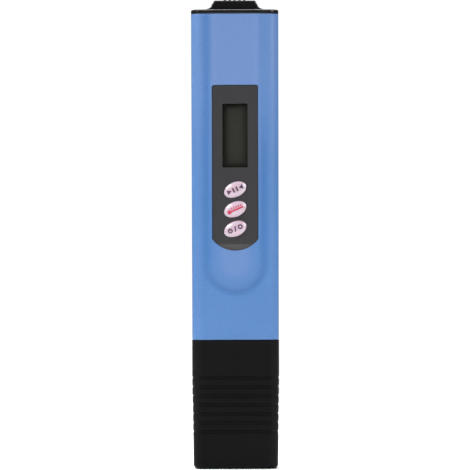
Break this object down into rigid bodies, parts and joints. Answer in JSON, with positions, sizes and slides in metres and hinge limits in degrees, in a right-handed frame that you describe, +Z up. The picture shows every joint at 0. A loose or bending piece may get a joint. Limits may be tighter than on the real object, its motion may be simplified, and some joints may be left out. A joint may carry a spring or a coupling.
{
  "type": "ph test pen",
  "caption": "Pocket water test pen: blue two-shell housing, dark face panel with display and oval keys, ribbed pull-off probe cap and pull-off battery cap.",
  "frame": {"origin": "middle of the foot of the probe cap, below the middle of the bounding box", "axes": "+Z up the length of the pen from the probe cap to the battery cap; -Y out of the display towards the reader; +X to the reader's right"},
  "size_m": [0.0288, 0.0154, 0.155],
  "materials": {
    "blue_abs": "fine satin",
    "black_abs": "satin",
    "charcoal_abs": "satin",
    "pink_silicone": "glossy",
    "clear_acrylic": "polished",
    "lcd_glass": "polished",
    "white_abs": "matt",
    "carbon_rubber": "matt",
    "black_rubber": "matt",
    "board_laminate": "solder mask",
    "steel": "bright",
    "ceramic": "matt",
    "trimmer_nylon": "satin",
    "brass": "bright",
    "electrode_glass": "polished",
    "junction_felt": "felt",
    "silver_wire": "bright",
    "epoxy": "glossy",
    "sponge": "open cell",
    "label_foil": "satin",
    "white_lead": "insulation",
    "red_lead": "insulation",
    "blue_lead": "insulation"
  },
  "bodies": {
    "protective_cap": {"probe_cap": "black_abs", "soaking_sponge": "sponge"},
    "meter_body": {"front_shell": "blue_abs", "rear_shell": "blue_abs", "rear_label": "label_foil", "face_panel": "charcoal_abs", "lcd_lens": "clear_acrylic", "lcd_glass": "lcd_glass", "lcd_frame": "white_abs", "zebra_strip_left": "carbon_rubber", "zebra_strip_right": "carbon_rubber", "keypad_mat": "pink_silicone", "main_board": "board_laminate", "board_screw_1": "steel", "board_screw_2": "steel", "board_screw_3": "steel", "board_screw_4": "steel", "controller_chip": "epoxy", "amplifier_chip": "epoxy", "supply_capacitor": "ceramic", "filter_capacitor": "ceramic", "clock_crystal": "steel", "trimmer_body": "trimmer_nylon", "battery_holder": "black_abs", "battery_cell_left": "steel", "battery_cell_right": "steel", "positive_contact": "steel", "negative_contact": "steel", "sensor_nose": "charcoal_abs", "glass_electrode": "electrode_glass", "reference_junction": "junction_felt", "electrode_wire": "silver_wire", "electrode_bung": "black_rubber", "temperature_sheath": "steel", "thermistor_bead": "epoxy", "neck_seal": "black_rubber", "electrode_lead": "white_lead", "reference_lead": "blue_lead", "temperature_lead": "red_lead"},
    "battery_cover": {"battery_cap": "black_abs", "battery_cap_seal": "black_rubber"},
    "hold_key": {"hold_button": "pink_silicone", "hold_contact_pill": "carbon_rubber"},
    "temp_key": {"temp_button": "pink_silicone", "temp_contact_pill": "carbon_rubber"},
    "power_key": {"power_button": "pink_silicone", "power_contact_pill": "carbon_rubber"},
    "trimmer_adjuster": {"trimmer_rotor": "brass"}
  },
  "joints": [
    {"name": "cap_pull", "type": "slide", "parent": "protective_cap", "child": "meter_body", "axis": [0, 0, 1], "range_m": [0, 0.045]},
    {"name": "battery_cap_pull", "type": "slide", "parent": "meter_body", "child": "battery_cover", "axis": [0, 0, 1], "range_m": [0, 0.012]},
    {"name": "hold_press", "type": "slide", "parent": "meter_body", "child": "hold_key", "axis": [0, 1, 0], "range_m": [0, 0.0007], "stiffness_N_per_m": 1200},
    {"name": "temp_press", "type": "slide", "parent": "meter_body", "child": "temp_key", "axis": [0, 1, 0], "range_m": [0, 0.0007], "stiffness_N_per_m": 1200},
    {"name": "power_press", "type": "slide", "parent": "meter_body", "child": "power_key", "axis": [0, 1, 0], "range_m": [0, 0.0007], "stiffness_N_per_m": 1200},
    {"name": "trimmer_turn", "type": "hinge", "parent": "meter_body", "child": "trimmer_adjuster", "pos_m": [0, 0.00306, 0.07], "axis": [0, 1, 0], "range_deg": [-135, 135]}
  ]
}
